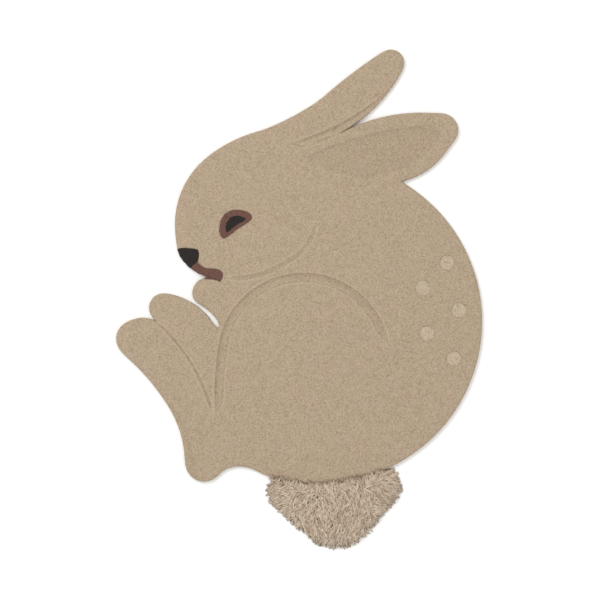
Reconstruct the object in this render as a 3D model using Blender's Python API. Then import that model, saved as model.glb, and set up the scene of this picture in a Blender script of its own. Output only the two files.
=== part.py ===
"""A child's rug in the shape of a curled-up rabbit, hand-tufted in wool and lying flat on the floor.

The drawing is in millimetres, seen from above: X to the rabbit's back, Y to its ears. The rug is one slab of
cut pile on its base cloth, drawn as a chain of circular arcs, with lines and low places carved into the pile.
The eye, the nose, the mouth and the spots are tufted in other yarns, each in a recess of its own, and the
tail is a patch of long shag against the slab's lower edge.
"""

import math
from collections import namedtuple

import bmesh
import bpy
from mathutils import Matrix, Vector, geometry, noise

MM = 0.001

# The slab
THICKNESS = 14.0
BASE_CLOTH = 3.0
EDGE_ROUND = 4.0
RIM_STEPS = ((0.0, 0.0), (0.3, 0.7), (1.0, 1.0))
ARC_STEP = 9.0
SOFTEN_PASSES = 3
GAP = 0.3
CUT_ABOVE = 4.0

# The inlaid yarns
INLAY_ROUND = 1.0
SPOT_DIAMETER = 31.0
SPOT_DROP = 1.5
SPOT_SIDES = 28
EYE_CENTRE = (-144.0, 166.0)
EYE_TILT = 35.0
EYE_LENGTH = 80.0
EYE_HEIGHT = 42.0
PUPIL_LENGTH = 52.0
PUPIL_HEIGHT = 22.0
EYE_ARCH = 0.18
EYE_SIDES = 36

# The spots stand in two staggered rows along arcs about the back's own centre, at angles in degrees
BACK_CENTRE = (40.0, -46.0)
SpotRow = namedtuple("SpotRow", "radius angles")
SPOT_ROWS = (
    SpotRow(310.0, (24.0, 4.0, -16.0)),
    SpotRow(240.0, (17.0, -7.0)),
)

# The tail's shag
TAIL_CROWN = 30.0
TAIL_SEAM = 13.0
TAIL_VALLEY = 8.0
TAIL_TIP = 3.0
TAIL_SHOULDER = 45.0
TAIL_LOCKS = 76
TAIL_LOCK_REACH = 10.0
TAIL_LOCK_STRAY = 2.5
TAIL_LUMP = 3.5
TAIL_LUMP_SIZE = 16.0
TAIL_PITCH = 9.0
# The seam's corners stand this far off the rump, so that the straight edges between them still keep the gap
TAIL_CLEAR = 0.6

# A stroke is an arc from the last stroke's end, over one point, to the next. Its end is a corner or is softened.
Stroke = namedtuple("Stroke", "name over end corner")
Chain = namedtuple("Chain", "name start strokes")
OUTLINE = Chain("outline", (222.0, 258.0), (
    Stroke("back", (400.0, -46.0), (205.0, -366.0), False),
    Stroke("rump", (60.0, -406.0), (-85.0, -384.0), False),
    Stroke("belly hollow", (-132.0, -367.0), (-172.0, -377.0), False),
    Stroke("heel", (-218.0, -402.0), (-253.0, -356.0), False),
    Stroke("shin", (-262.0, -296.0), (-289.0, -236.0), False),
    Stroke("sole", (-338.0, -170.0), (-392.0, -118.0), False),
    Stroke("lower toes", (-404.0, -76.0), (-370.0, -46.0), False),
    Stroke("lower instep", (-344.0, -40.0), (-318.0, -47.0), True),
    Stroke("upper toes", (-330.0, -4.0), (-286.0, 11.0), False),
    Stroke("upper instep", (-227.0, -14.0), (-183.0, -66.0), False),
    Stroke("slit end", (-176.0, -68.0), (-173.0, -60.0), False),
    Stroke("paw underside", (-200.0, -25.0), (-234.0, -5.0), False),
    Stroke("paw tip", (-234.0, 30.0), (-185.0, 44.0), True),
    Stroke("chin", (-216.0, 53.0), (-241.0, 68.0), False),
    Stroke("nose", (-264.0, 94.0), (-272.0, 130.0), False),
    Stroke("face", (-261.0, 236.0), (-192.0, 321.0), False),
    Stroke("brow", (-138.0, 352.0), (-82.0, 371.0), False),
    Stroke("upper ear root", (-20.0, 399.0), (42.0, 436.0), False),
    Stroke("upper ear back", (112.0, 494.0), (180.0, 542.0), False),
    Stroke("upper ear tip", (218.0, 544.0), (226.0, 504.0), False),
    Stroke("upper ear front", (172.0, 428.0), (88.0, 364.0), True),
    Stroke("lower ear back", (192.0, 402.0), (300.0, 408.0), False),
    Stroke("lower ear tip", (346.0, 386.0), (330.0, 338.0), False),
    Stroke("lower ear front", (288.0, 288.0), (222.0, 258.0), True),
))

# The shapes that the carver's shears leave, across the line and up from the pile's top, in millimetres.
# The knife line is a V. The shoulder drops at the line and climbs back to its right. The groove is flat.
PROFILES = {
    "knife line": ((0.0, -3.5), (4.6, CUT_ABOVE), (-4.6, CUT_ABOVE)),
    "shoulder": ((0.5, -4.0), (18.0, 0.2), (18.0, CUT_ABOVE), (-2.0, CUT_ABOVE), (-1.0, 0.0)),
    "groove": ((4.0, -2.5), (5.5, CUT_ABOVE), (-5.5, CUT_ABOVE), (-4.0, -2.5)),
}
CARVING_FADE = 36.0
CARVING_TIP = 0.15
Carving = namedtuple("Carving", "name profile start strokes")
CARVINGS = (
    Carving("cheek groove", "groove", (-163.0, 47.0), (
        Stroke("jaw", (-92.0, 52.0), (-32.0, 80.0), False),
        Stroke("cheek", (14.0, 116.0), (36.0, 172.0), False))),
    Carving("thigh shoulder", "shoulder", (-186.0, -252.0), (
        Stroke("thigh front", (-184.0, -160.0), (-172.0, -74.0), False),
        Stroke("thigh top", (10.0, 56.0), (194.0, -96.0), False))),
    Carving("foot line", "knife line", (-318.0, -48.0), (
        Stroke("foot", (-246.0, -130.0), (-192.0, -254.0), False),)),
    Carving("upper ear shoulder", "shoulder", (-20.0, 342.0), (
        Stroke("upper ear", (88.0, 384.0), (190.0, 454.0), False),)),
    Carving("ear parting", "knife line", (92.0, 364.0), (
        Stroke("parting", (48.0, 352.0), (2.0, 336.0), False),)),
)

# The places shorn low all over
BAND_DEPTH = 2.5
LOW_PLACES = (
    Chain("lower ear panel", (10.0, 310.0), (
        Stroke("panel back", (150.0, 360.0), (284.0, 382.0), False),
        Stroke("panel tip", (308.0, 370.0), (300.0, 342.0), False),
        Stroke("panel front", (186.0, 274.0), (84.0, 276.0), False),
        Stroke("panel root", (44.0, 290.0), (10.0, 310.0), True))),
    Chain("shin strip", (-286.0, -228.0), (
        Stroke("strip inside", (-247.0, -300.0), (-234.0, -392.0), True),
        Stroke("strip foot", (-262.0, -408.0), (-290.0, -392.0), True),
        Stroke("strip outside", (-310.0, -300.0), (-286.0, -228.0), True))),
)

# The nose and the mouth share a side, and run out over the rug's edge, where the slab trims them
NOSE = Chain("nose", (-288.0, 104.0), (
    Stroke("nose top", (-256.0, 112.0), (-224.0, 108.0), True),
    Stroke("nose side", (-219.0, 94.0), (-226.0, 80.0), True),
    Stroke("nose foot", (-243.0, 68.0), (-256.0, 44.0), True),
    Stroke("nose outside", (-294.0, 72.0), (-288.0, 104.0), True)))
MOUTH = Chain("mouth", (-256.0, 44.0), (
    Stroke("lip end", (-243.0, 68.0), (-226.0, 80.0), True),
    Stroke("lip top", (-209.0, 66.0), (-188.0, 66.0), False),
    Stroke("lip corner", (-167.0, 56.0), (-174.0, 40.0), True),
    Stroke("lip outside", (-214.0, 46.0), (-256.0, 44.0), True)))

# The tail's patch is the hull of three discs, less the rump
Disc = namedtuple("Disc", "x y radius")
TAIL_DISCS = (Disc(-36.0, -424.0, 40.0), Disc(184.0, -410.0, 42.0), Disc(78.0, -454.0, 97.0))
TAIL_CENTRE = (76.0, -452.0)
DISC_SIDES = 72

BEIGE_WOOL = (0.46, 0.35, 0.24)
CREAM_WOOL = (0.52, 0.42, 0.30)
BROWN_WOOL = (0.16, 0.08, 0.055)
DARK_WOOL = (0.03, 0.022, 0.018)
SHAG_WOOL = (0.45, 0.36, 0.26)


def wool(name, colour):
    """A matt woollen yarn of one colour."""
    material = bpy.data.materials.new(name)
    material.use_nodes = True
    shader = material.node_tree.nodes["Principled BSDF"]
    shader.inputs["Base Color"].default_value = (*colour, 1.0)
    shader.inputs["Roughness"].default_value = 0.95
    shader.inputs["Metallic"].default_value = 0.0
    return material


def circle_centre(a, b, c):
    """The centre of the circle through three points, or None where they lie on one straight line."""
    ab, ac = b - a, c - a
    twice_area = 2.0 * ab.cross(ac)
    if abs(twice_area) < 1e-6:
        return None
    x = ac.y * ab.length_squared - ab.y * ac.length_squared
    y = ab.x * ac.length_squared - ac.x * ab.length_squared
    return a + Vector((x, y)) / twice_area


def arc_points(start, over, end):
    """Points along the arc from start, over a point, to end, without the start."""
    centre = circle_centre(start, over, end)
    if centre is None:
        count = max(1, round((end - start).length / ARC_STEP))
        return [start.lerp(end, i / count) for i in range(1, count + 1)]
    spoke = start - centre

    def turn_to(point):
        other = point - centre
        return math.atan2(spoke.cross(other), spoke.dot(other)) % math.tau

    sweep = turn_to(end)
    if turn_to(over) > sweep:
        sweep -= math.tau
    count = max(2, round(abs(sweep) * spoke.length / ARC_STEP))
    return [centre + turned(spoke, sweep * i / count) for i in range(1, count + 1)]


def turned(vector, angle):
    return Matrix.Rotation(angle, 2) @ vector


def drawn(chain, closed=True):
    """A chain's points, with every joint softened that isn't a corner."""
    points, fixed = [Vector(chain.start)], [True]
    for stroke in chain.strokes:
        arc = arc_points(points[-1], Vector(stroke.over), Vector(stroke.end))
        points += arc
        fixed += [False] * (len(arc) - 1) + [stroke.corner]
    if closed:
        points.pop()
        fixed.pop()
    else:
        fixed[-1] = True
    for _ in range(SOFTEN_PASSES):
        points = [
            point if held else (points[i - 1] + 2.0 * point + points[(i + 1) % len(points)]) / 4.0
            for i, (point, held) in enumerate(zip(points, fixed))
        ]
    return points


def anticlockwise(points):
    area = sum(a.cross(b) for a, b in zip(points, points[1:] + points[:1]))
    return points if area > 0 else points[::-1]


def grown(points, distance):
    """An anticlockwise outline with each point moved outwards by a distance."""
    moved = []
    for before, point, after in zip(points[-1:] + points[:-1], points, points[1:] + points[:1]):
        along = (point - before).normalized() + (after - point).normalized()
        along.normalize()
        moved.append(point + distance * Vector((along.y, -along.x)))
    return moved


def round_points(centre, radius, sides):
    spoke = Vector((radius, 0.0))
    return [Vector(centre) + turned(spoke, math.tau * i / sides) for i in range(sides)]


def eye_points(length, height):
    """An almond, arched a little over its length and tilted."""
    points = []
    for i in range(EYE_SIDES):
        turn = math.tau * i / EYE_SIDES
        across = math.cos(turn)
        up = 0.5 * height * math.sin(turn) - EYE_ARCH * length * (across * across - 0.5)
        points.append(Vector(EYE_CENTRE) + turned(Vector((0.5 * length * across, up)), math.radians(EYE_TILT)))
    return points


def new_object(name, bm, material=None):
    """A mesh drawn in millimetres becomes an object in metres. One with no material is a hidden cutter."""
    bmesh.ops.recalc_face_normals(bm, faces=bm.faces)
    mesh = bpy.data.meshes.new(name)
    bm.to_mesh(mesh)
    bm.free()
    mesh.transform(Matrix.Scale(MM, 4))
    obj = bpy.data.objects.new(name, mesh)
    bpy.context.scene.collection.objects.link(obj)
    if material:
        mesh.materials.append(material)
    else:
        obj.hide_render = True
        obj.display_type = "WIRE"
    return obj


def prism(name, points, low, high, rounding=0.0, material=None):
    """An outline pulled up from one height to another, its top rim rounded in steps."""
    rings = [(high, 0.0)]
    if rounding:
        rings = [(high - rounding * (1.0 - up), rounding * inward) for inward, up in RIM_STEPS]
    bm = bmesh.new()
    ring = [bm.verts.new((p.x, p.y, low)) for p in points]
    bm.faces.new(ring)
    for height, inward in rings:
        above = [bm.verts.new((p.x, p.y, height)) for p in grown(points, -inward)]
        for i in range(len(ring)):
            bm.faces.new((ring[i - 1], ring[i], above[i], above[i - 1]))
        ring = above
    bm.faces.new(ring)
    return new_object(name, bm, material)


def boolean(obj, cutter, operation):
    modifier = obj.modifiers.new(cutter.name, "BOOLEAN")
    modifier.operation = operation
    modifier.solver = "EXACT"
    modifier.object = cutter


def profile_curve(name, corners):
    """A carving's shape as a closed curve, for the sweeps."""
    curve = bpy.data.curves.new(name, "CURVE")
    spline = curve.splines.new("POLY")
    spline.points.add(len(corners) - 1)
    for point, (across, up) in zip(spline.points, corners):
        point.co = (across * MM, up * MM, 0.0, 1.0)
    spline.use_cyclic_u = True
    profile = bpy.data.objects.new(name, curve)
    bpy.context.scene.collection.objects.link(profile)
    profile.hide_render = True
    profile.display_type = "WIRE"
    return profile


def carving_cutter(carving, profile):
    """The carving's shape swept along its line, dying out towards both ends."""
    points = drawn(carving, closed=False)
    curve = bpy.data.curves.new(carving.name, "CURVE")
    curve.dimensions = "3D"
    curve.twist_mode = "Z_UP"
    curve.bevel_mode = "OBJECT"
    curve.bevel_object = profile
    curve.use_fill_caps = True
    spline = curve.splines.new("POLY")
    spline.points.add(len(points) - 1)
    run = [0.0]
    for a, b in zip(points, points[1:]):
        run.append(run[-1] + (b - a).length)
    for place, point, at in zip(spline.points, points, run):
        nearest_end = min(at, run[-1] - at)
        place.co = (point.x * MM, point.y * MM, THICKNESS * MM, 1.0)
        place.radius = max(CARVING_TIP, math.sin(min(1.0, nearest_end / CARVING_FADE) * math.pi / 2.0))
    cutter = bpy.data.objects.new(carving.name, curve)
    bpy.context.scene.collection.objects.link(cutter)
    bpy.context.view_layer.update()
    swept = bpy.data.meshes.new_from_object(cutter.evaluated_get(bpy.context.evaluated_depsgraph_get()))
    bpy.data.objects.remove(cutter)
    bm = bmesh.new()
    bm.from_mesh(swept)
    bmesh.ops.scale(bm, verts=bm.verts, vec=(1.0 / MM, 1.0 / MM, 1.0 / MM))
    bmesh.ops.remove_doubles(bm, verts=bm.verts, dist=0.01)
    return new_object(carving.name + " cutter", bm)


def build_slab(outline):
    slab = prism("pile_slab", outline, 0.0, THICKNESS, EDGE_ROUND, wool("beige wool", BEIGE_WOOL))
    for place in LOW_PLACES:
        points = anticlockwise(drawn(place))
        boolean(slab, prism(place.name, points, THICKNESS - BAND_DEPTH, THICKNESS + CUT_ABOVE), "DIFFERENCE")
    profiles = {name: profile_curve(name, corners) for name, corners in PROFILES.items()}
    for carving in CARVINGS:
        boolean(slab, carving_cutter(carving, profiles[carving.profile]), "DIFFERENCE")
    return slab


def recess(around, name, points):
    """The room that a patch of other yarn stands in, down to the base cloth."""
    room = prism(name + " recess", grown(points, 0.5 * GAP), BASE_CLOTH, THICKNESS + CUT_ABOVE)
    boolean(around, room, "DIFFERENCE")


def patch(name, points, material, drop=0.0):
    """A patch of other yarn that stands clear of the rug's edge."""
    inside = grown(points, -0.5 * GAP)
    return prism(name, inside, BASE_CLOTH + GAP, THICKNESS - drop, INLAY_ROUND, material)


def edge_patch(name, points, outline, material):
    """A patch of other yarn that the rug's own edge trims."""
    piece = prism(name, outline, 0.5 * BASE_CLOTH, THICKNESS, EDGE_ROUND, material)
    inside = prism(name + " limit", grown(points, -0.5 * GAP), BASE_CLOTH + GAP, THICKNESS + CUT_ABOVE)
    boolean(piece, inside, "INTERSECT")
    return piece


def build_muzzle(slab, outline):
    for chain, material in ((NOSE, wool("dark wool", DARK_WOOL)), (MOUTH, wool("brown wool", BROWN_WOOL))):
        points = anticlockwise(drawn(chain))
        recess(slab, chain.name, points)
        edge_patch(chain.name, points, outline, material)


def build_eye(slab):
    rim_points = eye_points(EYE_LENGTH, EYE_HEIGHT)
    pupil_points = eye_points(PUPIL_LENGTH, PUPIL_HEIGHT)
    recess(slab, "eye_rim", rim_points)
    rim = patch("eye_rim", rim_points, wool("eye brown wool", BROWN_WOOL))
    recess(rim, "eye_pupil", pupil_points)
    patch("eye_pupil", pupil_points, wool("eye dark wool", DARK_WOOL))


def build_spots(slab):
    cream = wool("cream wool", CREAM_WOOL)
    places = [(row.radius, angle) for row in SPOT_ROWS for angle in row.angles]
    for number, (radius, angle) in enumerate(places, 1):
        centre = Vector(BACK_CENTRE) + turned(Vector((radius, 0.0)), math.radians(angle))
        points = round_points(centre, 0.5 * SPOT_DIAMETER, SPOT_SIDES)
        recess(slab, f"spot_{number}", points)
        patch(f"spot_{number}", points, cream, SPOT_DROP)


def reach(centre, direction, points):
    """The distance from a centre to a closed outline, in one direction."""
    far = centre + 1000.0 * direction
    hits = []
    for a, b in zip(points, points[1:] + points[:1]):
        hit = geometry.intersect_line_line_2d(centre, far, a, b)
        if hit:
            hits.append((hit - centre).length)
    return min(hits, default=math.inf)


def tail_rim(outline):
    """The tail's rim as points with heights: locks that lie on the floor, and the seam along the rump."""
    discs = [p for disc in TAIL_DISCS for p in round_points((disc.x, disc.y), disc.radius, DISC_SIDES)]
    hull = [discs[i] for i in geometry.convex_hull_2d(discs)]
    rump = grown(outline, TAIL_CLEAR)
    centre = Vector(TAIL_CENTRE)
    columns = 4 * TAIL_LOCKS
    rim = []
    for i in range(columns):
        direction = turned(Vector((1.0, 0.0)), math.tau * i / columns)
        free, seam = reach(centre, direction, hull), reach(centre, direction, rump)
        if seam < free:
            if i % 2 == 0:
                rim.append((centre + seam * direction).to_3d() + Vector((0.0, 0.0, TAIL_SEAM)))
            continue
        into_lock = (0.0, 0.7, 1.0, 0.7)[i % 4]
        stray = TAIL_LOCK_STRAY * noise.noise(Vector((i // 4, 0.5, 0.5)) * 0.9)
        length = free - TAIL_LOCK_REACH + into_lock * (TAIL_LOCK_REACH + stray)
        length = min(length, seam - GAP)
        height = TAIL_VALLEY + into_lock * (TAIL_TIP - TAIL_VALLEY)
        rim.append((centre + length * direction).to_3d() + Vector((0.0, 0.0, height)))
    return rim


def tail_inside(rim):
    """Points for the shag's lumps, in a staggered grid that keeps clear of the rim."""
    low = Vector([min(p[k] for p in rim) for k in (0, 1)])
    high = Vector([max(p[k] for p in rim) for k in (0, 1)])
    row_height = TAIL_PITCH * math.sqrt(3.0) / 2.0
    inside = []
    for row in range(int((high.y - low.y) / row_height)):
        for column in range(int((high.x - low.x) / TAIL_PITCH)):
            place = Vector((low.x + (column + 0.5 * (row % 2)) * TAIL_PITCH, low.y + row * row_height))
            nearest = min(rim, key=lambda p: (p.to_2d() - place).length_squared)
            clear = (nearest.to_2d() - place).length
            if clear < 0.7 * TAIL_PITCH:
                continue
            rise = math.sqrt(1.0 - (1.0 - min(1.0, clear / TAIL_SHOULDER)) ** 2)
            lump = TAIL_LUMP * noise.noise(place.to_3d() / TAIL_LUMP_SIZE) * min(1.0, clear / TAIL_LUMP_SIZE)
            inside.append(place.to_3d() + Vector((0.0, 0.0, nearest.z + rise * (TAIL_CROWN - nearest.z) + lump)))
    return inside


def build_tail(outline):
    rim = tail_rim(outline)
    points = rim + tail_inside(rim)
    flat = [p.to_2d() for p in points]
    _, _, faces, which, _, _ = geometry.delaunay_2d_cdt(flat, [], [list(range(len(rim)))], 1, 1e-4)
    source = [origins[0] for origins in which]
    bm = bmesh.new()
    top = [bm.verts.new(p) for p in points]
    for face in faces:
        bm.faces.new([top[source[i]] for i in face])
    bmesh.ops.delete(bm, geom=[v for v in bm.verts if not v.link_faces], context="VERTS")
    walls = bmesh.ops.extrude_edge_only(bm, edges=[e for e in bm.edges if e.is_boundary])["geom"]
    for vert in (v for v in walls if isinstance(v, bmesh.types.BMVert)):
        vert.co.z = 0.0
    bmesh.ops.holes_fill(bm, edges=[e for e in bm.edges if e.is_boundary], sides=0)
    return new_object("tail_shag", bm, wool("shag wool", SHAG_WOOL))


def put_origin_under_the_middle(outline, tail):
    """Moves every piece so that the rug's whole box stands with its middle over the origin."""
    edge = outline + [Vector((v.co.x, v.co.y)) / MM for v in tail.data.vertices]
    middle = [(min(p[k] for p in edge) + max(p[k] for p in edge)) / 2.0 for k in (0, 1)]
    for obj in bpy.context.scene.objects:
        obj.location = (-middle[0] * MM, -middle[1] * MM, 0.0)


def main():
    for obj in list(bpy.data.objects):
        bpy.data.objects.remove(obj)
    outline = anticlockwise(drawn(OUTLINE))
    slab = build_slab(outline)
    build_muzzle(slab, outline)
    build_eye(slab)
    build_spots(slab)
    tail = build_tail(outline)
    put_origin_under_the_middle(outline, tail)


main()
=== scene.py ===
import math
import random

import bmesh
import bpy
import numpy as np
from mathutils import Matrix, Vector, geometry, kdtree, noise
from mathutils.bvhtree import BVHTree


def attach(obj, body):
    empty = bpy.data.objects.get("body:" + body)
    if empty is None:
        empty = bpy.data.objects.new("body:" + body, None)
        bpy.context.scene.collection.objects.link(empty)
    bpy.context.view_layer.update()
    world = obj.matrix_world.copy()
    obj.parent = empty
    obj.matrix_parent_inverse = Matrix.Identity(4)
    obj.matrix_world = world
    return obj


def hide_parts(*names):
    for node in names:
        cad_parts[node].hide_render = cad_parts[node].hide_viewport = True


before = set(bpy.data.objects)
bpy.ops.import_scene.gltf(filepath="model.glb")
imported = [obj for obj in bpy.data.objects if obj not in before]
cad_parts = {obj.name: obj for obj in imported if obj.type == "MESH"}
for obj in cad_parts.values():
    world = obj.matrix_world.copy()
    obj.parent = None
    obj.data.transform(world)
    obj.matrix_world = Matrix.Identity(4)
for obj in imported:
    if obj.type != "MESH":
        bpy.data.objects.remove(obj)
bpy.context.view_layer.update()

mm = 0.001
hair = 0.01 * mm   # points nearer than this are one
flush = 0.05 * mm  # and so are heights nearer than this
scene = bpy.context.scene


# Colours and nodes

def linear(hexCode):
    channels = [int(hexCode[i:i + 2], 16) / 255 for i in (1, 3, 5)]
    return [c / 12.92 if c <= 0.04045 else ((c + 0.055) / 1.055) ** 2.4 for c in channels] + [1.0]


def addNode(tree, kind, settings=None, links=None):
    node = tree.nodes.new(kind)
    for key, value in (settings or {}).items():
        if hasattr(node, key):
            setattr(node, key, value)
        else:
            node.inputs[key].default_value = value
    for key, source in (links or {}).items():
        tree.links.new(source, node.inputs[key])
    return node


def newMaterial(name, shaderSettings):
    material = bpy.data.materials.new(name)
    material.use_nodes = True
    tree = material.node_tree
    tree.nodes.clear()
    shader = addNode(tree, "ShaderNodeBsdfPrincipled", shaderSettings)
    addNode(tree, "ShaderNodeOutputMaterial", links={"Surface": shader.outputs["BSDF"]})
    return material, tree, shader


def perMetre(millimetres):
    return 1000.0 / millimetres  # the scale at which a pattern's cells are this wide


def blended(tree, factor, low, high, lowAt=0.0, highAt=1.0):
    ramp = addNode(tree, "ShaderNodeValToRGB", links={0: factor})
    ends = ramp.color_ramp.elements
    ends[0].position, ends[0].color = lowAt, linear(low)
    ends[1].position, ends[1].color = highAt, linear(high)
    return ramp.outputs["Color"]


def mixed(tree, blendType, factor, first, second):
    # The factor and the two colours are each a value or another node's output
    mix = addNode(tree, "ShaderNodeMix", {"data_type": "RGBA", "blend_type": blendType})
    for index, source in ((0, factor), (6, first), (7, second)):
        if isinstance(source, bpy.types.NodeSocket):
            tree.links.new(source, mix.inputs[index])
        else:
            mix.inputs[index].default_value = source
    return mix.outputs[2]


wool = {
    "roughness": 0.92,
    "sheenWeight": 0.08,
    "sheenRoughness": 0.55,
    "ior": 1.52,
    "tuftWidth": 2.7,          # mm, one tuft of yarn
    "fibreWidth": 0.9,         # mm, coarser than a real fibre, so that it shows in the render
    "clumpWidth": 9.0,         # mm, tufts that lean together
    "blotchWidth": 60.0,       # mm, where the nap leans another way
    "tuftShare": 0.34,         # how much single tufts differ in tone
    "clumpShare": 0.2,
    "gapShadeShare": 0.8,           # how much painted shade there is between them
    "gapTone": "#d6cec3",
    "grooveShade": "#c2b8ab",   # the painted shade down in a carved line
    "blotchRange": (0.5, 0.75),   # the part of each pattern over which the tone changes
    "clumpRange": (0.35, 0.65),
    "tuftRange": (0.2, 0.8),
    "gapShadeRange": (0.3, 0.8),
    "yarnRange": (0.1, 0.95),
    "sunkShadeRange": (0.15, 0.7),
    "tuftRelief": 0.0010,      # m
    "fibreRelief": 0.0005,
    "pileBump": 0.8,           # how much of the relief shows
    "yarnBump": 0.9,
}
levelPile = 0.5  # the painted shade and highlight on level pile, which has neither: a cut has more, up to 1, painted darker, and an upper edge less, down to 0, painted lighter


def woolShader(name):
    # Wool is matt, with a faint bloom of light where the fibre ends catch it
    return newMaterial(name, {
        "Roughness": wool["roughness"],
        "Sheen Weight": wool["sheenWeight"],
        "Sheen Roughness": wool["sheenRoughness"],
        "IOR": wool["ior"],
    })


def shornWool(name, base, shade, light, blush):
    # Cut pile, shorn level: a close grain of yarn ends, with painted shade in the gaps between tufts, down
    # in the carving and in the low places, a painted highlight along the carving's upper edges, and soft
    # blotches where the nap leans another way
    material, tree, shader = woolShader(name)
    place = addNode(tree, "ShaderNodeTexCoord").outputs["Object"]
    carvingShadeAndHighlight = addNode(tree, "ShaderNodeAttribute", {"attribute_name": "carvingShadeAndHighlight"}).outputs["Fac"]
    blotch, clump, fibre = (
        addNode(tree, "ShaderNodeTexNoise", {"Scale": perMetre(wool[width]), "Detail": 2.0},
                {"Vector": place}).outputs["Fac"]
        for width in ("blotchWidth", "clumpWidth", "fibreWidth")
    )
    tuft = addNode(tree, "ShaderNodeTexVoronoi", {"Scale": perMetre(wool["tuftWidth"])}, {"Vector": place})
    body = blended(tree, blotch, base, blush, *wool["blotchRange"])
    clumps = blended(tree, clump, shade, light, *wool["clumpRange"])
    clumped = mixed(tree, "MIX", wool["clumpShare"], body, clumps)
    own = blended(tree, tuft.outputs["Color"], shade, light, *wool["tuftRange"])
    tufted = mixed(tree, "MIX", wool["tuftShare"], clumped, own)
    # Painted shade in the gaps between the tufts
    gapShade = blended(tree, tuft.outputs["Distance"], "#ffffff", wool["gapTone"], *wool["gapShadeRange"])
    gapShaded = mixed(tree, "MULTIPLY", wool["gapShadeShare"], tufted, gapShade)
    # A painted highlight in the wool's light tone along the carving's upper edges, and painted shade down in
    # the carving and the low places
    highlightMask = blended(tree, carvingShadeAndHighlight, "#ffffff", "#000000", 0.0, levelPile)
    highlighted = mixed(tree, "MIX", highlightMask, gapShaded, linear(light))
    grooveShadeMask = blended(tree, carvingShadeAndHighlight, "#ffffff", wool["grooveShade"], levelPile, 1.0)
    paintedLightColour = mixed(tree, "MULTIPLY", 1.0, highlighted, grooveShadeMask)
    tree.links.new(paintedLightColour, shader.inputs["Base Color"])
    bump = {"Strength": wool["pileBump"]}
    domes = addNode(tree, "ShaderNodeBump", {**bump, "Distance": wool["tuftRelief"], "invert": True},
                    {"Height": tuft.outputs["Distance"]})
    hairs = addNode(tree, "ShaderNodeBump", {**bump, "Distance": wool["fibreRelief"]},
                    {"Height": fibre, "Normal": domes.outputs["Normal"]})
    tree.links.new(hairs.outputs["Normal"], shader.inputs["Normal"])
    return material


def twistedYarn(name, root, body, tip):
    # Long loose yarn: each a little lighter or darker than the next, with painted shade down between them
    material, tree, shader = woolShader(name)
    sunkShade = addNode(tree, "ShaderNodeAttribute", {"attribute_name": "sunkShade"}).outputs["Fac"]
    yarn = addNode(tree, "ShaderNodeAttribute", {"attribute_name": "yarn"}).outputs["Fac"]
    place = addNode(tree, "ShaderNodeTexCoord").outputs["Object"]
    own = blended(tree, yarn, body, tip, *wool["yarnRange"])
    # Painted shade: the root tone darkens a yarn where it lies sunk below the shag's surface
    paintedDepthShade = blended(tree, sunkShade, "#ffffff", root, *wool["sunkShadeRange"])
    tree.links.new(mixed(tree, "MULTIPLY", 1.0, own, paintedDepthShade), shader.inputs["Base Color"])
    fibre = addNode(tree, "ShaderNodeTexNoise", {"Scale": perMetre(wool["fibreWidth"]), "Detail": 2.0},
                    {"Vector": place})
    relief = addNode(tree, "ShaderNodeBump", {"Strength": wool["yarnBump"], "Distance": wool["fibreRelief"]},
                     {"Height": fibre.outputs["Fac"]})
    tree.links.new(relief.outputs["Normal"], shader.inputs["Normal"])
    return material


canvas = {
    "roughness": 0.85,
    "threads": 2.4,            # mm from thread to thread
    "bandsAtOne": 20.0,        # the phase that a wave texture of scale 1 runs through in a metre
    "waver": 0.5,              # how unevenly the threads lie
    "gapTone": "#a3937a",
    "threadTone": "#cbbb9f",
    "relief": 0.0005,          # m
    "bump": 0.6,
}


def canvasBacking():
    # Cotton canvas stuck on with latex: a dull, close plain weave on the underside
    material, tree, shader = newMaterial("cotton canvas backing", {"Roughness": canvas["roughness"]})
    place = addNode(tree, "ShaderNodeTexCoord").outputs["Object"]
    scale = perMetre(canvas["threads"]) * math.tau / canvas["bandsAtOne"]
    across, along = (
        addNode(tree, "ShaderNodeTexWave",
                {"bands_direction": axis, "Scale": scale, "Distortion": canvas["waver"]},
                {"Vector": place}).outputs["Fac"]
        for axis in ("X", "Y")
    )
    weave = addNode(tree, "ShaderNodeMath", {"operation": "MULTIPLY"}, {0: across, 1: along}).outputs[0]
    tone = blended(tree, weave, canvas["gapTone"], canvas["threadTone"])
    tree.links.new(tone, shader.inputs["Base Color"])
    relief = addNode(tree, "ShaderNodeBump", {"Strength": canvas["bump"], "Distance": canvas["relief"]},
                     {"Height": weave})
    tree.links.new(relief.outputs["Normal"], shader.inputs["Normal"])
    return material


beigeWool = shornWool("beige shorn wool", "#b3a088", "#a29077", "#c3b29a", "#b79f8b")
creamWool = shornWool("cream shorn wool", "#bfae97", "#ad9c86", "#d6c7b2", "#c1ad97")
brownWool = shornWool("reddish brown shorn wool", "#6a483f", "#593b34", "#7b5549", "#6c4f3e")
darkWool = shornWool("nearly black shorn wool", "#1c1411", "#140e0b", "#281d18", "#1d1411")
# The first tone is the painted shade at the yarns' roots
shagWool = twistedYarn("beige twisted shag yarn", "#a89987", "#a5917c", "#d0bfa9")
backing = canvasBacking()
print("materials done")


# The cut pile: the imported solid's own outline and carving, covered with small tufts

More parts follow.
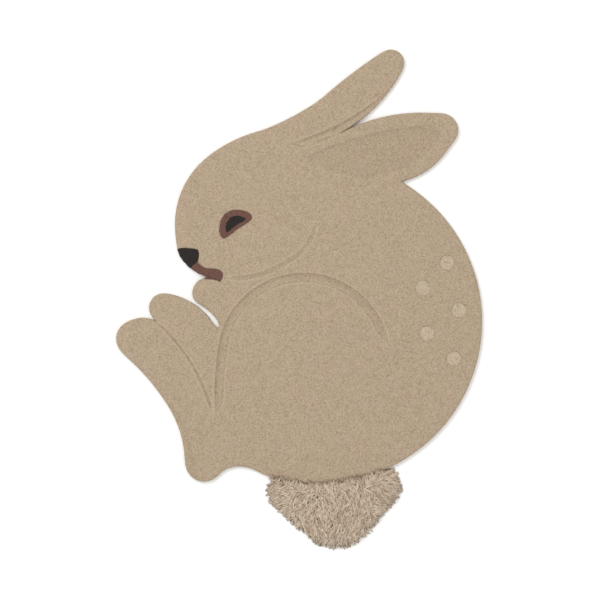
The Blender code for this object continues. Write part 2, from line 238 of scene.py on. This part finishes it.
pile = {
    "pitch": 2.7,  # mm between the tufts' middles
    "inlayPitch": 2.0,               # mm, and between an inlay's
    "stray": 0.22,                   # share of the pitch that a tuft stands out of line
    "spacing": 0.55,                 # the least distance between tufts, as a share of the pitch
    "inset": 0.6,                    # and from the rim to the first tufts
    "rowSpacing": 0.25,              # the same two for the rows along the carving
    "rowInset": 0.35,
    "height": 0.45,                  # mm that single tufts stand higher or lower
    "clumpWidth": 9.0,               # mm, tufts that stand higher or lower together
    "clumpHeight": 0.5,
    "napWidth": 70.0,                # mm, and the slow waves of the whole pile
    "napHeight": 0.6,
    "wallRows": 3,
    "wallStray": 0.4,                # mm
    "clothHeight": 2.6,              # mm, the base cloth's edge at the foot of the wall
    "clothMargin": 1.1,              # how far up that edge is taken for canvas, as a share of it
    "probe": 0.3,                    # mm in from the rim, where a rim tuft's height is taken
    "onRow": 0.1,                    # mm, a tuft this near to a carved row stands in it
    "seamBelow": 0.6,                # mm from a carved wall to the row of tufts below it
    "seamAbove": 0.25,
    "seamPitch": 0.65,               # the carved rows' pitch, as a share of the field's
    "seamAngle": 9.0,                # degrees, the least fold that counts as carved
    "rowLift": 0.5,                  # how uneven the carved rows are, as a share of the field's
    "seamFill": {"valleyShade": 0.65, "plain": 0.75},  # how much of a cut the loosened wool fills again
    "rimKept": 11.0,                 # mm along the rim where its rounding isn't taken for carving
    "valleyKept": 1.0,               # and where a cut runs out through it
    "clothReach": 4.0,               # mm above the floor, a cut down to here is a place for an inlay
    "splay": 0.6,                    # mm that an inlay's upper tufts lean out over its seam
    "splayStray": 0.3,
    "waver": 1.3,                    # mm that its edge wavers
    "waverWidth": 9.0,
    "valleyShade": 0.15,              # the painted shade at a cut's foot, where 1 is the groove's full painted shade
    "creaseShade": 0.4,               # and the painted shade in a crease in the slope beside it
    "ridgeHighlight": -0.4,               # the painted highlight on an upper edge, where -1 is the light tone
    "ridgeInset": 2.6,               # mm from a crease to the row with the painted highlight beside it
    "toneRange": (0.8, 1.0),         # how much of its row's painted shade or highlight a single tuft takes
    "lowShade": 0.12,                 # the painted shade in the low places
    "lowDepth": 2.5,                 # mm below the top, where that painted shade is full
    "sharpAngle": 55.0,              # degrees, the least fold that is shaded as an edge
}
tilt = {  # how far up a face of the solid looks, where 1 is straight up
    "underside": -0.9,               # less than this is the underside
    "overhang": -0.5,
    "carved": 0.2,                   # nearer to level than this is a carved wall
    "side": 0.5,                     # and than this, a side of the tufted piece
}


def nodeMesh(name):
    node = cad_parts[name]
    bm = bmesh.new()
    bm.from_mesh(node.data)
    bmesh.ops.transform(bm, matrix=node.matrix_world, verts=bm.verts)
    bmesh.ops.remove_doubles(bm, verts=bm.verts, dist=1e-6)
    bm.normal_update()
    return bm


def sides(loop):
    return zip(loop, loop[1:] + loop[:1])


def signedArea(loop):
    return 0.5 * sum(a.cross(b) for a, b in sides(loop))


def footLoops(bm, level):
    # The solid's outline round its flat underside, walked anticlockwise, and any hole's, walked clockwise
    low = {f for f in bm.faces if all(v.co.z < level for v in f.verts)}
    under = {f for f in low if f.normal.z < tilt["underside"]}
    beside = {}
    for edge in bm.edges:
        if sum(f in under for f in edge.link_faces) == 1:
            a, b = edge.verts
            beside.setdefault(a, []).append(b)
            beside.setdefault(b, []).append(a)
    loops = []
    while beside:
        vert = next(iter(beside))
        loop = []
        while vert:
            loop.append(vert.co.xy)
            vert = next((v for v in beside.pop(vert) if v in beside), None)
        loops.append(loop)
    loops.sort(key=lambda loop: -abs(signedArea(loop)))
    return [loop if (signedArea(loop) > 0) == (k == 0) else loop[::-1] for k, loop in enumerate(loops)]


def spaced(a, b, step):
    count = max(1, round((b - a).length / step))
    return [a.lerp(b, i / count) for i in range(count)]


def spacedRound(loop, step):
    return [p for a, b in sides(loop) for p in spaced(a, b, step)]


def carvedRows(bm, foot, step):
    # Rows of tufts along the carving, by the painted shade or highlight they get, and plain rows on both
    # sides of an inlay's seam
    rows = {"valleyShade": [], "creaseShade": [], "ridgeHighlight": [], "plain": []}
    for edge in bm.edges:
        a, b = (v.co.xy for v in edge.verts)
        if edge.calc_face_angle(0.0) < math.radians(pile["seamAngle"]) or (b - a).length < hair:
            continue
        uprights = [f for f in edge.link_faces if abs(f.normal.z) < tilt["carved"]]
        atFoot = any(v.co.z < foot + flush for f in uprights for v in f.verts)
        if atFoot or any(f.normal.z < tilt["overhang"] for f in edge.link_faces):
            continue
        if uprights:
            below = uprights[0].normal.xy.normalized() * pile["seamBelow"] * mm
            above = uprights[0].normal.xy.normalized() * -pile["seamAbove"] * mm
            forInlay = any(v.co.z < foot + pile["clothReach"] * mm for f in uprights for v in f.verts)
            rows["plain" if forInlay else "valleyShade"] += spaced(a + below, b + below, step)
            rows["plain" if forInlay else "ridgeHighlight"] += spaced(a + above, b + above, step)
        elif edge.is_convex:
            sloped = min(edge.link_faces, key=lambda f: f.normal.z).normal.xy.normalized()
            inward = sloped * -pile["ridgeInset"] * mm
            rows["creaseShade"] += spaced(a, b, step)
            rows["ridgeHighlight"] += spaced(a + inward, b + inward, step)
        else:
            rows["valleyShade"] += spaced(a, b, step)
    return rows


def latticePoints(outline, step, stray, rng):
    # Staggered rows over the whole of the outline's box, each point a little out of line
    low = [min(p[k] for p in outline) for k in (0, 1)]
    high = [max(p[k] for p in outline) for k in (0, 1)]
    row = step * math.sqrt(3) / 2
    return [
        Vector((low[0] + (i + 0.5 * (j % 2) + rng.uniform(-stray, stray)) * step,
                low[1] + (j + rng.uniform(-stray, stray)) * row))
        for j in range(int((high[1] - low[1]) / row) + 1)
        for i in range(int((high[0] - low[0]) / step) + 1)
    ]


def thinned(points, spacing):
    # Leaves out each point that has an earlier neighbour nearer than the spacing
    result = []
    cells = {}
    for point in points:
        column, row = int(point.x // spacing), int(point.y // spacing)
        near = [q for i in (-1, 0, 1) for j in (-1, 0, 1) for q in cells.get((column + i, row + j), ())]
        if all((q - point).length >= spacing for q in near):
            cells.setdefault((column, row), []).append(point)
            result.append(point)
    return result


def heightReader(solid, top):
    # Reads the solid's height at a place, from a ray that starts well above its top
    above, down = top + 0.01, Vector((0, 0, -1))

    def heightAt(place):
        hit = solid.ray_cast(Vector((place.x, place.y, above)), down)[0]
        return hit.z if hit else None
    return heightAt


def nearestReader(points):
    tree = kdtree.KDTree(len(points))
    for i, p in enumerate(points):
        tree.insert(p.to_3d(), i)
    tree.balance()
    return lambda place: tree.find(place.to_3d())[1:]  # (which point, how far)


def tuftLift(place, rng):
    lift = pile["height"] * rng.uniform(-1, 1)
    lift += pile["clumpHeight"] * noise.noise(place * perMetre(pile["clumpWidth"]))
    lift += pile["napHeight"] * noise.noise(place * perMetre(pile["napWidth"]))
    return Vector((0, 0, lift * mm))


def openEdges(bm):
    return [e for e in bm.edges if e.is_boundary]


def loweredRim(bm):
    new = bmesh.ops.extrude_edge_only(bm, edges=openEdges(bm))["geom"]
    return [g for g in new if isinstance(g, bmesh.types.BMVert)]


def pileWall(bm, foot, backed, holed, nearestRim, rim, rng):
    # The tufted side, down in rows to the base cloth or an inlay's foot, and the flat underside.
    # An inlay's side comes back in to the solid's own rim.
    cloth = foot + (pile["clothHeight"] * mm if backed else 0.0)
    for row in range(pile["wallRows"]):
        left = (pile["wallRows"] - row - 1) / (pile["wallRows"] - row)
        for vert in loweredRim(bm):
            stray = Vector((rng.uniform(-1, 1), rng.uniform(-1, 1))) * pile["wallStray"] * mm
            corner = vert.co.xy + stray if backed else rim[nearestRim(vert.co.xy)[0]]
            vert.co = (*corner, cloth + (vert.co.z - cloth) * left)
    if backed:
        for vert in loweredRim(bm):
            vert.co.z = foot
    if holed:
        bmesh.ops.bridge_loops(bm, edges=openEdges(bm))
    else:
        bmesh.ops.holes_fill(bm, edges=openEdges(bm), sides=0)


def shadePile(bm, foot, backed):
    # The underside and the cloth's edge are canvas, and the tufts are shaded smooth but for sharp folds
    clothTop = foot + pile["clothMargin"] * pile["clothHeight"] * mm
    for face in bm.faces:
        under = face.normal.z < tilt["underside"]
        low = all(v.co.z < clothTop for v in face.verts)
        face.smooth = not under
        face.material_index = 1 if backed and (under or low and abs(face.normal.z) < tilt["side"]) else 0
    for edge in bm.edges:
        edge.smooth = edge.calc_face_angle(0.0) < math.radians(pile["sharpAngle"])


def cutPile(pieceName, nodeName, material, seed, pitch=pile["pitch"], backed=False):
    rng = random.Random(seed)
    source = nodeMesh(nodeName)
    foot, top = (pick(v.co.z for v in source.verts) for pick in (min, max))
    step = pitch * mm
    loops = footLoops(source, foot + flush)
    rims = [spacedRound(loop, step) for loop in loops]
    rim = sum(rims, [])
    turns = [b - a for ring in rims for a, b in zip(ring[-1:] + ring[:-1], ring[1:] + ring[:1])]
    outward = [Vector((turn.y, -turn.x)).normalized() for turn in turns]
    heightAt = heightReader(BVHTree.FromBMesh(source), top)
    nearestRim = nearestReader(rim)
    carved = carvedRows(source, foot, pile["seamPitch"] * step)
    source.free()
    rows = thinned(sum(carved.values(), []), pile["rowSpacing"] * step)
    rows = [p for p in rows if nearestRim(p)[1] > pile["rowInset"] * step]
    field = latticePoints(loops[0], step, pile["stray"], rng)
    field = [p for p in field if nearestRim(p)[1] > pile["inset"] * step]
    inner = [p for p in thinned(rows + field, pile["spacing"] * step) if heightAt(p) is not None]
    readers = {kind: nearestReader(points) for kind, points in carved.items() if points}

    starts = [sum(len(ring) for ring in rims[:k]) for k in range(len(rims))]
    bounds = [list(range(start, start + len(ring))) for start, ring in zip(starts, rims)]
    # The 1 asks for the triangles inside the bounds
    places, _, faces, _, _, _ = geometry.delaunay_2d_cdt(rim + inner, [], bounds, 1, 1e-7)
    bm = bmesh.new()
    carvingShadeAndHighlight = bm.verts.layers.float.new("carvingShadeAndHighlight")
    verts = []
    for place in places:
        index, away = nearestRim(place)
        onRim = away < hair
        height = heightAt(place - outward[index] * pile["probe"] * mm if onRim else place)
        spot = Vector((place.x, place.y, top if height is None else height))
        near = (kind for kind, nearest in readers.items() if nearest(place)[1] < pile["onRow"] * mm)
        kind = next(near, "field")
        inside = away > (pile["valleyKept"] if kind == "valleyShade" else pile["rimKept"]) * mm
        low = min(1.0, (top - spot.z) / (pile["lowDepth"] * mm)) if inside else 0.0
        if inside:
            spot.z += pile["seamFill"].get(kind, 0.0) * (top - spot.z)
        if onRim and not backed:
            lean = pile["splay"] + rng.uniform(-1, 1) * pile["splayStray"]
            lean += pile["waver"] * noise.noise(spot * perMetre(pile["waverWidth"]))
            spot += (outward[index] * lean * mm).to_3d()
        vert = bm.verts.new(spot + tuftLift(spot, rng) * (1.0 if kind == "field" else pile["rowLift"]))
        # A tuft in a carved row gets its row's painted shade or highlight, and one in a low place gets
        # painted shade
        tone = pile.get(kind, 0.0) * rng.uniform(*pile["toneRange"]) if inside else 0.0
        vert[carvingShadeAndHighlight] = levelPile + (1 - levelPile) * (tone or pile["lowShade"] * low)
        verts.append(vert)
    for face in faces:
        middle = sum((places[i] for i in face), Vector((0, 0))) / len(face)
        if len(rims) == 1 or heightAt(middle) is not None:
            bm.faces.new([verts[i] for i in face])
    bmesh.ops.delete(bm, geom=[v for v in bm.verts if not v.link_faces], context="VERTS")
    pileWall(bm, foot, backed, len(rims) > 1, nearestRim, rim, rng)
    bmesh.ops.recalc_face_normals(bm, faces=bm.faces)
    shadePile(bm, foot, backed)
    return finished(pieceName, bm, [material, backing] if backed else [material])


def finished(name, bm, materials):
    loose = len(openEdges(bm))
    mesh = bpy.data.meshes.new(name)
    bm.to_mesh(mesh)
    bm.free()
    for material in materials:
        mesh.materials.append(material)
    piece = bpy.data.objects.new(name, mesh)
    scene.collection.objects.link(piece)
    print(name, len(mesh.vertices), "points,", loose, "open edges")
    return piece


def assign(piece, slotName, *nodes):
    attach(piece, "root")
    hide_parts(*nodes)


rug = cutPile("rug_pile", "pile_slab", beigeWool, seed=1, backed=True)
assign(rug, "beige_pile", "pile_slab")

for number, (nodeName, material, slotName) in enumerate((
    ("nose", darkWool, "dark_pile"),
    ("mouth", brownWool, "brown_pile"),
    ("eye_rim", brownWool, "brown_pile"),
    ("eye_pupil", darkWool, "dark_pile"),
    *((f"spot_{i}", creamWool, "cream_pile") for i in range(1, 6)),
)):
    inlay = cutPile(nodeName + "_pile", nodeName, material, seed=10 + number, pitch=pile["inlayPitch"])
    assign(inlay, slotName, nodeName)


# The tail: loose yarns that fan out over the shag's solid

shag = {
    "seed": 5,
    "pitch": 3.7,   # mm from root to root
    "rootStray": 0.35,                # share of the pitch that a root stands out of line
    "rings": 6,
    "sides": 5,
    "radii": (1.4, 1.8, 1.9, 1.8, 1.7, 1.1),  # mm along the yarn, from its root to its tip
    "thickness": (0.8, 1.15),         # how thin and how thick single yarns are, as shares of that
    "length": (17.0, 30.0),           # mm that a yarn runs sideways
    "inset": 2.5,                     # mm from the shag's rim to the nearest yarns
    "rootInset": 8.0,                 # and to their roots
    "rimStep": 2.0,                   # mm between the points that stand for that rim
    "rootDepth": 12.0,                # mm that a root lies below the shag's surface
    "arch": 4.0,                      # mm that a yarn's middle stands over it
    "tipDrop": 3.0,                   # and that its tip dips below it
    "floorGap": 0.2,                  # mm, the least from a yarn to the floor
    "uneven": 2.0,                    # mm that one yarn lies higher or lower than the next
    "overRim": 4.0,                   # mm that the longest yarns lie past the shag's own rim
    "overShare": (0.3, 1.0),          # how much of that, or of the next, a single yarn reaches
    "fall": (1.0, 3.0),               # mm that it sinks there from ring to ring
    "floorFall": (0.25, 0.6),         # and over the bare floor, the share of its height that it keeps
    "seamRow": (3.0, -4.0),           # mm up into the pile, which tells the seam, and down to more yarns
    "pastSeam": 3.0,                  # mm past the seam, where the short pile's height is taken
    "overPile": 17.0,                 # mm that they lean back over the short pile
    "overMean": 0.7,                  # the mean share of it that they reach
    "overSwing": 0.9,                 # how much more or less they reach in waves
    "overWidth": 26.0,                # mm, how wide those waves are
    "overLift": 1.8,                  # mm that they lie clear of the pile
    "risen": 0.35,                    # how far along they have risen to lie so
    "seamShadow": 0.55,                 # painted shadow on their ends, where 1 is the painted shade at the roots
    "crown": (0.3, 20.0),             # the line that they fan out from: in from the sides, mm below the seam
    "setBack": 0.45,                  # how far back a yarn starts, as a share of its length
    "swirl": 0.8,                     # radians that neighbouring yarns lean together
    "swirlWidth": 26.0,
    "stray": 0.4,                     # radians that one yarn leans on its own
    "curl": 2.4,                      # mm that a yarn bends aside
    "bends": 1.3,                     # in how many half waves
    "matSink": 0.65,                  # the mat under the yarns, as a share of the solid's height
    "matWidth": 0.96,                 # and of its width
    "middle": 10.0,                   # mm either way of the middle, where the seam holds the mat
}


def yarnTemplate():
    # One straight yarn of unit radius, a ring at each whole height
    bm = bmesh.new()
    ring = bmesh.ops.create_circle(bm, segments=shag["sides"], radius=1.0)["verts"]
    edges = list({e for v in ring for e in v.link_edges})
    bmesh.ops.contextual_create(bm, geom=edges)
    for _ in range(shag["rings"] - 1):
        new = bmesh.ops.extrude_edge_only(bm, edges=edges)["geom"]
        edges = [g for g in new if isinstance(g, bmesh.types.BMEdge) and g.is_boundary]
        bmesh.ops.translate(bm, verts=[g for g in new if isinstance(g, bmesh.types.BMVert)], vec=(0, 0, 1))
    bmesh.ops.contextual_create(bm, geom=edges)
    bmesh.ops.recalc_face_normals(bm, faces=bm.faces)
    bm.verts.index_update()
    shape = np.array([v.co[:] for v in bm.verts])
    faces = [[v.index for v in f.verts] for f in bm.faces]
    bm.free()
    return shape, faces


def yarnPath(root, atSeam, crown, nearestRim, heightAt, pileHeightAt, rng):
    # A yarn springs from its root, arches over and comes to lie on the others, on the pile or on the floor.
    # Where it would start too near the rim, there is none.
    seam = root.y
    while heightAt(Vector((root.x, seam))) is not None:
        seam += mm
    out =root - Vector((min(max(root.x, crown[0]), crown[1]), seam - shag["crown"][1] * mm))
    lean = (math.pi / 2 if atSeam else math.atan2(out.y, out.x)) + rng.gauss(0, shag["stray"])
    if not atSeam:
        lean += shag["swirl"] * 2 * noise.noise(root.to_3d() * perMetre(shag["swirlWidth"]))
    ahead = Vector((math.cos(lean), math.sin(lean)))
    length = rng.uniform(*shag["length"]) * mm
    setBack = root - ahead * shag["setBack"] * length
    if heightAt(setBack - ahead * shag["rootInset"] * mm) is not None:
        root = setBack
    elif nearestRim(root)[1] < shag["rootInset"] * mm:
        return None
    reach = length
    while reach > 0 and heightAt(root + ahead * reach) is None:
        reach -= mm
    beyond = None
    if reach < length:
        beyond = pileHeightAt(root + ahead * (reach + shag["pastSeam"] * mm))
        wave = shag["overMean"] + shag["overSwing"] * noise.noise(root.to_3d() * perMetre(shag["overWidth"]))
        past = shag["overRim"] if beyond is None else shag["overPile"] * max(0.0, wave)
        reach = min(length, reach + rng.uniform(*shag["overShare"]) * past * mm)
    aside = Vector((-ahead.y, ahead.x)) * rng.uniform(-1, 1) * shag["curl"] * mm
    raised = rng.uniform(-1, 1) * shag["uneven"]
    path = []
    last = 0.0
    for k in range(shag["rings"]):
        t = k / (shag["rings"] - 1)
        spot = root + ahead * reach * t + aside * math.sin(t * math.pi * shag["bends"])
        surface, under = heightAt(spot), pileHeightAt(spot)
        bury = shag["rootDepth"] * (1 - t) ** 3 + (shag["tipDrop"] * t * t if beyond is None else 0.0)
        above = shag["arch"] * math.sin(t * math.pi) + raised - bury
        clear = (shag["radii"][k] + shag["overLift"]) * mm
        if surface is not None:
            last = surface + above * mm
            if beyond is not None and t > shag["risen"]:
                last = max(last, beyond + clear)
        elif under is not None:
            last = max(under + clear, last - rng.uniform(*shag["fall"]) * mm)
        else:
            last *= rng.uniform(*shag["floorFall"])
        last = max(last, shag["radii"][k] * mm)
        # Painted shadow on the ends that lie over the pile by the seam, and painted shade where the yarn
        # lies below the shag's surface
        dark = 0.0 if beyond is None else shag["seamShadow"] * max(0.0, 2 * t - 1)
        path.append((spot.x, spot.y, last, max(dark, -above / shag["rootDepth"])))
    return path


def yarnPaths(source, corners, rng):
    # The yarns of the field, and a row of more along the seam with the pile
    slab = nodeMesh("pile_slab")
    top = max(v.co.z for v in source.verts)
    heightAt = heightReader(BVHTree.FromBMesh(source), top)
    pileHeightAt = heightReader(BVHTree.FromBMesh(slab), top)
    slab.free()
    left, right = (pick(p.x for p in corners) for pick in (min, max))
    inset = shag["crown"][0] * (right - left)
    crown = (left + inset, right - inset)
    rim = spacedRound(corners, shag["rimStep"] * mm)
    nearestRim = nearestReader(rim)
    spots = [
        (p, False) for p in latticePoints(corners, shag["pitch"] * mm, shag["rootStray"], rng)
        if heightAt(p) is not None and nearestRim(p)[1] > shag["inset"] * mm
    ]
    beyond, back = (Vector((0, y * mm)) for y in shag["seamRow"])
    spots += [(p + back, True) for p in rim if pileHeightAt(p + beyond) is not None]
    ways = [yarnPath(p, atSeam, crown, nearestRim, heightAt, pileHeightAt, rng) for p, atSeam in spots]
    return np.array([way for way in ways if way])


def sweptYarns(ways, rng):
    # The template, laid along each path with its rings square to it
    paths, sunkShade = ways[:, :, :3], ways[:, :, 3]
    shape, faces = yarnTemplate()
    ring = np.rint(shape[:, 2]).astype(int)
    ahead = np.gradient(paths, axis=1)
    ahead /= np.linalg.norm(ahead, axis=2, keepdims=True)
    aside = np.cross(ahead, (0.0, 0.0, 1.0))
    aside /= np.maximum(np.linalg.norm(aside, axis=2, keepdims=True), 1e-9)
    upward = np.cross(aside, ahead)
    radii = np.array(shag["radii"])[ring] * mm
    thickness = np.array([rng.uniform(*shag["thickness"]) for _ in ways])[:, None, None]
    points = paths[:, ring] + thickness * radii[None, :, None] * (
        shape[None, :, :1] * aside[:, ring] + shape[None, :, 1:2] * upward[:, ring])
    points[:, :, 2] = np.maximum(points[:, :, 2], shag["floorGap"] * mm)

    mesh = bpy.data.meshes.new("tail_yarns")
    offsets = np.arange(len(ways)) * len(shape)
    allFaces = [[i + offset for i in face] for offset in offsets.tolist() for face in faces]
    mesh.from_pydata(points.reshape(-1, 3).tolist(), [], allFaces)
    own = np.repeat([rng.random() for _ in ways], len(shape))
    for name, values in (("sunkShade", sunkShade[:, ring].ravel()), ("yarn", own)):
        mesh.attributes.new(name, "FLOAT", "POINT").data.foreach_set("value", values.astype(np.float32))
    mesh.shade_smooth()
    mesh.materials.append(shagWool)
    yarns = bpy.data.objects.new("tail_yarns", mesh)
    scene.collection.objects.link(yarns)
    print("tail_yarns", len(ways), "yarns")
    return yarns


def yarnMat(source, corners):
    # The mat of yarn that shows between the long ones: the shag's solid, lower and drawn in towards the seam
    centre = sum(corners, Vector((0, 0))) / len(corners)
    seam = max(p.y for p in corners if abs(p.x - centre.x) < shag["middle"] * mm)
    space = Matrix.Translation((-centre.x, -seam, 0.0))
    factors = (shag["matWidth"], shag["matWidth"], shag["matSink"])
    bmesh.ops.scale(source, verts=source.verts, vec=factors, space=space)
    # Painted shade on the mat down among the yarns, growing with height until it is full at the roots' depth
    # above the floor
    paintedDepthShade = source.verts.layers.float.new("sunkShade")
    for vert in source.verts:
        vert[paintedDepthShade] = min(1.0, vert.co.z / (shag["rootDepth"] * mm))
    return finished("tail_mat", source, [shagWool])


def shagTail():
    rng = random.Random(shag["seed"])
    source = nodeMesh("tail_shag")
    corners = footLoops(source, flush)[0]
    yarns = sweptYarns(yarnPaths(source, corners, rng), rng)
    return yarns, yarnMat(source, corners)


tailYarns, tailMat = shagTail()
assign(tailYarns, "beige_shag", "tail_shag")
assign(tailMat, "beige_shag", "tail_shag")

slabArea = signedArea(footLoops(nodeMesh("pile_slab"), flush)[0])
print("pieces done")


# Floor, light and camera

room = {
    "floorReach": 6.0,         # m from the floor's middle to its edge
    "floorDrop": 0.3,          # mm below the rug's underside
    "floorTone": "#fdfdfc",
    "floorRoughness": 0.9,
    "window": ((-1.7, 1.7, 4.0), 2.6, 95.0),  # m, where the light hangs, its width in m and its power in W
    "fill": ((1.8, -1.2, 3.8), 2.8, 30.0),
    "daylight": 0.7,
}
view = {
    "pixel": 2.2,              # mm that one pixel of the picture covers at the floor
    "pictureWidth": 600,       # pixels
    "centre": (2.0, -0.9),     # mm, the frame's middle on the floor
    "distance": 6.0,           # m above the floor
    "sensor": 36.0,            # mm
    "farthest": 100.0,         # m
}


def floor():
    # Matt paint: an even white that lets the rug's soft shadow show
    settings = {"Roughness": room["floorRoughness"], "Base Color": linear(room["floorTone"])}
    material = newMaterial("matt white paint", settings)[0]
    bm = bmesh.new()
    bmesh.ops.create_grid(bm, x_segments=1, y_segments=1, size=room["floorReach"])
    bmesh.ops.translate(bm, verts=bm.verts, vec=(0, 0, -room["floorDrop"] * mm))
    return finished("floor", bm, [material])


def softLight(name, at, size, power):
    data = bpy.data.lights.new(name, "AREA")
    data.shape = "DISK"
    data.size = size
    data.energy = power
    lamp = bpy.data.objects.new(name, data)
    lamp.location = at
    lamp.rotation_euler = (-Vector(at)).to_track_quat("-Z", "Y").to_euler()
    scene.collection.objects.link(lamp)


def daylight(strength):
    world = bpy.data.worlds.new("pale studio")
    world.use_nodes = True
    background = world.node_tree.nodes["Background"]
    background.inputs["Color"].default_value = (1.0, 1.0, 1.0, 1.0)
    background.inputs["Strength"].default_value = strength
    scene.world = world


def camera():
    data = bpy.data.cameras.new("camera")
    data.sensor_width = view["sensor"]
    frameWidth = view["pictureWidth"] * view["pixel"] * mm
    data.lens = view["sensor"] * view["distance"] / frameWidth
    data.clip_end = view["farthest"]
    eye = bpy.data.objects.new("camera", data)
    eye.location = (view["centre"][0] * mm, view["centre"][1] * mm, view["distance"])
    scene.collection.objects.link(eye)
    scene.camera = eye


floor()
softLight("window", *room["window"])
softLight("fill", *room["fill"])
daylight(room["daylight"])
camera()
scene.view_settings.view_transform = "Standard"
print("stage done")
